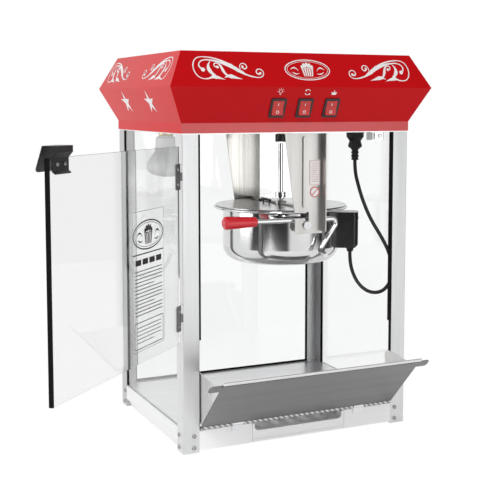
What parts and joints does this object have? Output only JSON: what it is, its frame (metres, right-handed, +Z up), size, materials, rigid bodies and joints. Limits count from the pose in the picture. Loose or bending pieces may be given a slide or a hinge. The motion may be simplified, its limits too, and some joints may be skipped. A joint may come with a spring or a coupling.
{
  "type": "popcorn machine",
  "caption": "Tabletop popcorn machine: glazed cabinet under a flared red canopy, with a tilting stirred kettle, swing door, tip-out chute and crumb drawer.",
  "frame": {"origin": "centre of the underside of the base, on the surface the machine stands on", "axes": "+Z up, -Y the front with the door and chute, +X the right-hand side seen from the front"},
  "size_m": [0.6819, 0.5713, 0.602],
  "materials": {
    "anodised_aluminium": "satin anodised",
    "stainless_sheet": "brushed",
    "clear_glass": "clear",
    "black_rubber": "matte",
    "red_enamel": "gloss",
    "motor_casting": "cast",
    "black_plastic": "fine grain",
    "brass": "satin",
    "frosted_glass": "frosted",
    "polished_steel": "polished",
    "chromed_steel": "bright",
    "element_steel": "heat darkened",
    "red_grip": "gloss",
    "black_steel": "satin black",
    "red_rocker": "translucent gloss"
  },
  "bodies": {
    "cabinet": {"bottom_plate": "stainless_sheet", "cabinet_screws": "chromed_steel", "canopy_cover": "red_enamel", "canopy_front": "red_enamel", "canopy_left": "red_enamel", "canopy_rear": "red_enamel", "canopy_right": "red_enamel", "ceiling_plate": "stainless_sheet", "door_catch": "chromed_steel", "drawer_runners": "stainless_sheet", "fixed_hinge_leaves": "stainless_sheet", "floor_pan": "stainless_sheet", "front_posts": "anodised_aluminium", "front_rail": "anodised_aluminium", "gear_motor": "motor_casting", "glazing_seals": "black_rubber", "hanger_front": "stainless_sheet", "hanger_rear": "stainless_sheet", "hinge_pins": "stainless_sheet", "kettle_cord": "black_rubber", "kettle_plug": "black_plastic", "kettle_socket": "black_plastic", "lamp_bulb": "frosted_glass", "lamp_holder": "brass", "power_inlet": "black_plastic", "rear_glass": "clear_glass", "rear_posts": "anodised_aluminium", "rear_rail": "anodised_aluminium", "side_glass": "clear_glass", "side_rails": "anodised_aluminium", "switch_housings": "black_plastic", "terminal_block": "black_plastic"},
    "door": {"door_glass": "clear_glass", "door_edge_trim": "black_rubber", "door_handle": "black_steel", "door_hinge_leaves": "black_steel", "door_screws": "chromed_steel"},
    "chute": {"chute_panel": "stainless_sheet", "chute_cheeks": "stainless_sheet"},
    "drawer": {"crumb_drawer": "stainless_sheet"},
    "kettle": {"kettle_pot": "polished_steel", "kettle_jacket": "polished_steel", "heating_element": "element_steel", "kettle_crossbar": "polished_steel", "trunnion_pins": "polished_steel", "handle_rod": "chromed_steel", "handle_grip": "red_grip", "terminal_box": "black_plastic", "cord_gland": "black_rubber"},
    "left_lid": {"lid_left": "polished_steel", "lid_lift": "black_plastic"},
    "right_lid": {"lid_right": "polished_steel"},
    "stirrer_set": {"stirrer_shaft": "polished_steel", "shaft_coupling": "polished_steel", "stirrer": "polished_steel"},
    "drive": {"drive_dog": "black_plastic", "drive_shaft": "brass"},
    "light_switch": {"rocker_light": "red_rocker"},
    "motor_switch": {"rocker_motor": "red_rocker"},
    "heat_switch": {"rocker_heat": "red_rocker"}
  },
  "joints": [
    {"name": "door_swing", "type": "hinge", "parent": "cabinet", "child": "door", "pos_m": [-0.1985, -0.1535, 0.315], "axis": [0, 0, 1], "range_deg": [-40, 136.4]},
    {"name": "chute_tilt", "type": "hinge", "parent": "cabinet", "child": "chute", "pos_m": [0, -0.1512, 0.0375], "axis": [-1, 0, 0], "range_deg": [0, 44]},
    {"name": "drawer_slide", "type": "slide", "parent": "cabinet", "child": "drawer", "axis": [0, -1, 0], "range_m": [0, 0.17]},
    {"name": "kettle_dump", "type": "hinge", "parent": "cabinet", "child": "kettle", "pos_m": [0.029, 0, 0.332], "axis": [0, -1, 0], "range_deg": [0, 80]},
    {"name": "left_lid_lift", "type": "hinge", "parent": "kettle", "child": "left_lid", "pos_m": [0.0328, 0, 0.3572], "axis": [0, 1, 0], "range_deg": [0, 70]},
    {"name": "right_lid_lift", "type": "hinge", "parent": "kettle", "child": "right_lid", "pos_m": [0.0492, 0, 0.3572], "axis": [0, -1, 0], "range_deg": [0, 70]},
    {"name": "drive_spin", "type": "hinge", "parent": "cabinet", "child": "drive", "pos_m": [0.041, 0, 0.47], "axis": [0, 0, 1], "continuous": true},
    {"name": "stirrer_spin", "type": "hinge", "parent": "kettle", "child": "stirrer_set", "pos_m": [0.041, 0, 0.38], "axis": [0, 0, 1], "continuous": true},
    {"name": "light_rock", "type": "hinge", "parent": "cabinet", "child": "light_switch", "pos_m": [-0.0452, -0.15919, 0.52021], "axis": [1, 0, 0], "range_deg": [0, 14]},
    {"name": "motor_rock", "type": "hinge", "parent": "cabinet", "child": "motor_switch", "pos_m": [0.0003, -0.15919, 0.52021], "axis": [1, 0, 0], "range_deg": [0, 14]},
    {"name": "heat_rock", "type": "hinge", "parent": "cabinet", "child": "heat_switch", "pos_m": [0.0463, -0.15919, 0.52021], "axis": [1, 0, 0], "range_deg": [0, 14]}
  ],
  "couplings": [
    {"joint": "drive_spin", "follows": "stirrer_spin", "ratio": 1}
  ]
}
